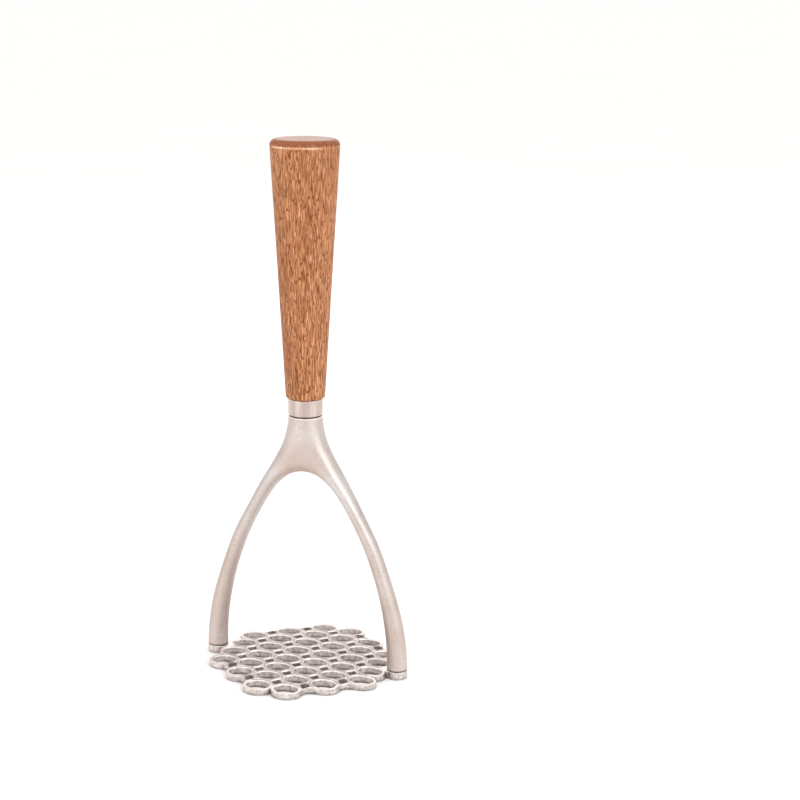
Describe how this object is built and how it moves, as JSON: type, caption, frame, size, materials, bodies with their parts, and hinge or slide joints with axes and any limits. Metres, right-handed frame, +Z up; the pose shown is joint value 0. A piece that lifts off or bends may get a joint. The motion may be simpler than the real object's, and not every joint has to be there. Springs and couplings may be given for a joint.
{
  "type": "hand potato masher",
  "caption": "Hand masher: flat plate of oval holes on a wishbone yoke, under a tapered wooden handle with a metal ferrule.",
  "frame": {"origin": "on the table, under the middle of the perforated plate and on the handle's axis", "axes": "+Z up along the handle's axis, +X from the left yoke foot to the right yoke foot, +Y away from the front of the plate"},
  "size_m": [0.1048, 0.0928, 0.255],
  "materials": {
    "plate_metal": "cast aluminium, bead blasted, rims worn bright",
    "yoke_metal": "cast aluminium, satin, bead blasted",
    "ferrule_metal": "stainless steel, turned satin",
    "washer_rubber": "dark seal",
    "handle_wood": "turned hardwood, oiled, fine dark pores",
    "insert_brass": "machined brass",
    "fastener_steel": "plain stainless steel"
  },
  "bodies": {
    "root": {"plate": "plate_metal", "yoke": "yoke_metal", "neck_washer": "washer_rubber", "ferrule": "ferrule_metal", "handle": "handle_wood", "handle_insert": "insert_brass", "handle_stud": "fastener_steel", "plate_screw_left": "fastener_steel", "plate_screw_right": "fastener_steel"}
  },
  "joints": []
}
